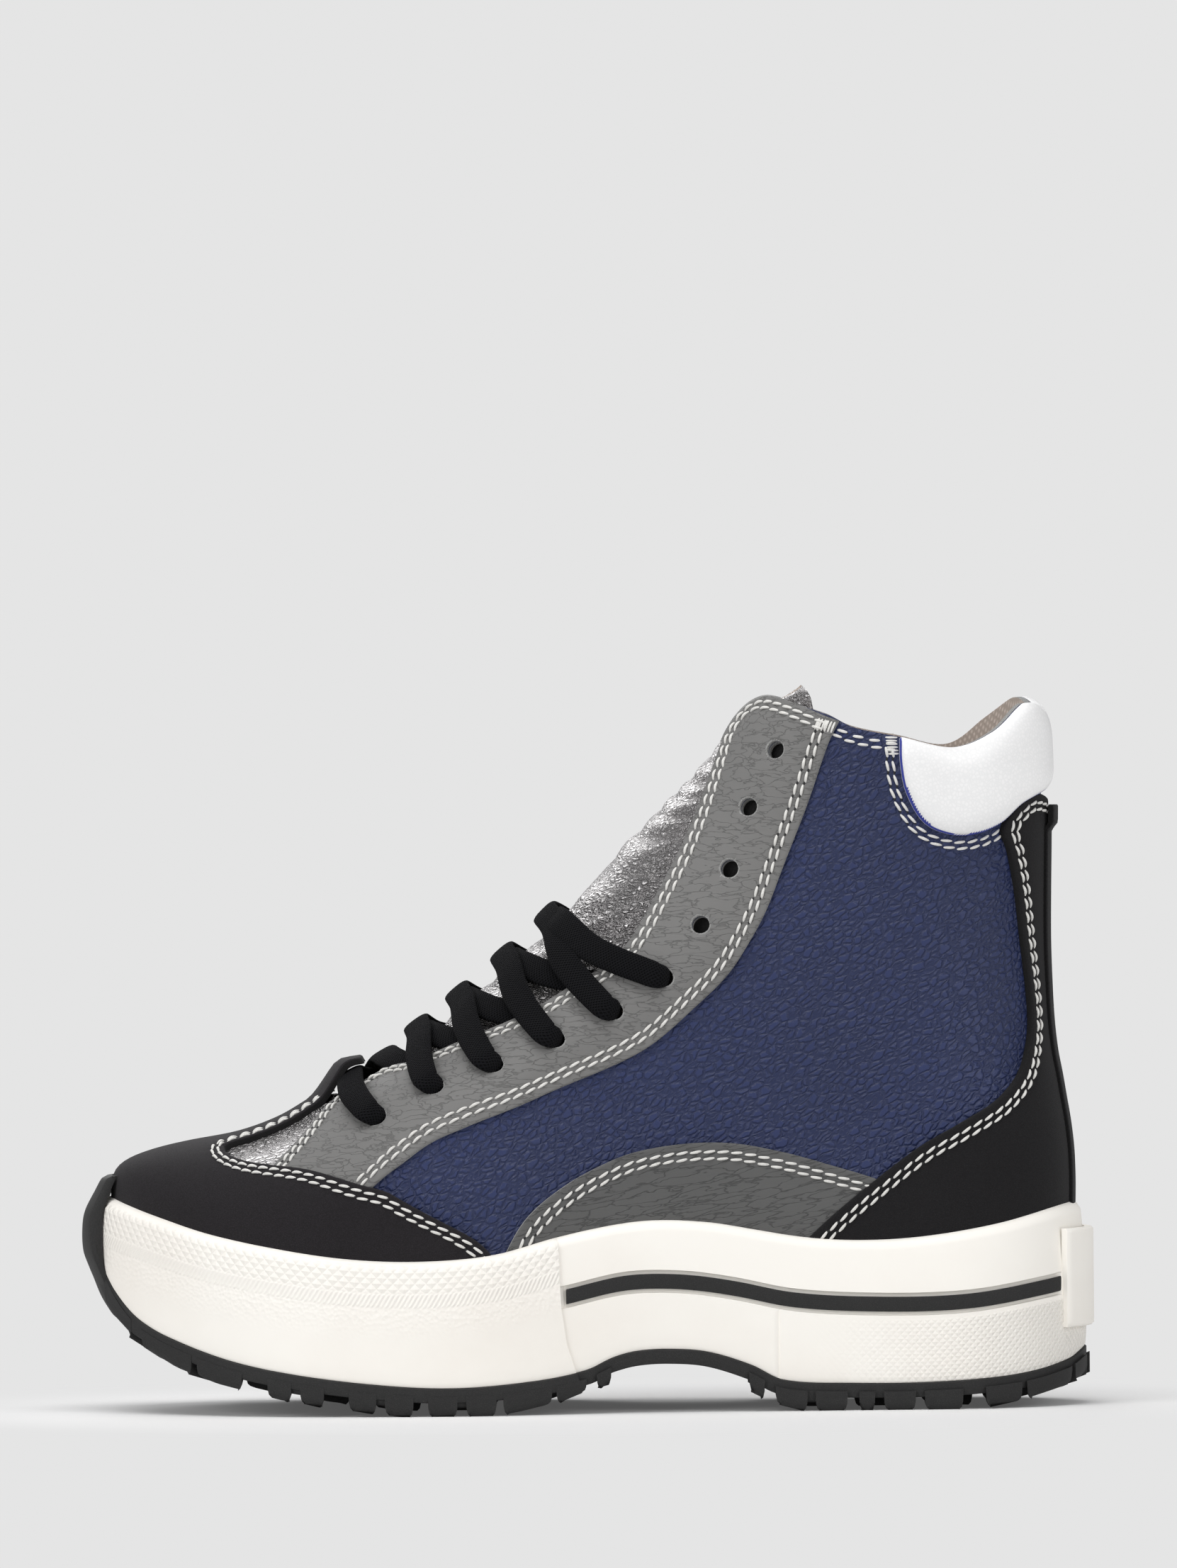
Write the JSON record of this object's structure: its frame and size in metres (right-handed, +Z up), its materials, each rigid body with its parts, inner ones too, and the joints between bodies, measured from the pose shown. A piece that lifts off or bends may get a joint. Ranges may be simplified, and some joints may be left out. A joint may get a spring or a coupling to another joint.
{
  "type": "high-top hiking shoe",
  "caption": "High-top leather hiking shoe for the left foot on a thick platform sole with a lugged outsole, standing empty, laced through its lower eyelets.",
  "frame": {"origin": "under the middle of the shoe's box, on the ground it stands on", "axes": "+X from heel to toe, +Y to the outer side of the foot, +Z up"},
  "size_m": [0.279, 0.1098, 0.1988],
  "materials": {
    "outsole_rubber": "matt moulded rubber",
    "midsole_foam": "smooth off-white moulded sole",
    "navy_leather": "pebbled full-grain leather",
    "grey_leather": "fine-grained leather",
    "dark_grey_leather": "fine-grained leather",
    "black_nubuck": "matt nubuck",
    "silver_leather": "crinkled metallic leather",
    "white_leather": "soft leather over padding",
    "lining_cloth": "woven lining",
    "lace_cotton": "flat woven lace"
  },
  "bodies": {
    "root": {"outsole": "outsole_rubber", "midsole": "midsole_foam", "upper": "navy_leather", "tongue": "silver_leather", "insole": "lining_cloth", "toe_cap": "black_nubuck", "heel_counter": "black_nubuck", "backstay": "black_nubuck", "collar_pad": "white_leather", "heel_tag": "midsole_foam", "eyestay_lateral": "grey_leather", "eyestay_medial": "grey_leather", "side_panel_lateral": "dark_grey_leather", "side_panel_medial": "dark_grey_leather", "sole_stripe_lateral": "outsole_rubber", "sole_stripe_medial": "outsole_rubber", "lace_crossing_1": "lace_cotton", "lace_crossing_2": "lace_cotton", "lace_crossing_3": "lace_cotton", "lace_crossing_4": "lace_cotton", "lace_crossing_5": "lace_cotton"}
  },
  "joints": []
}
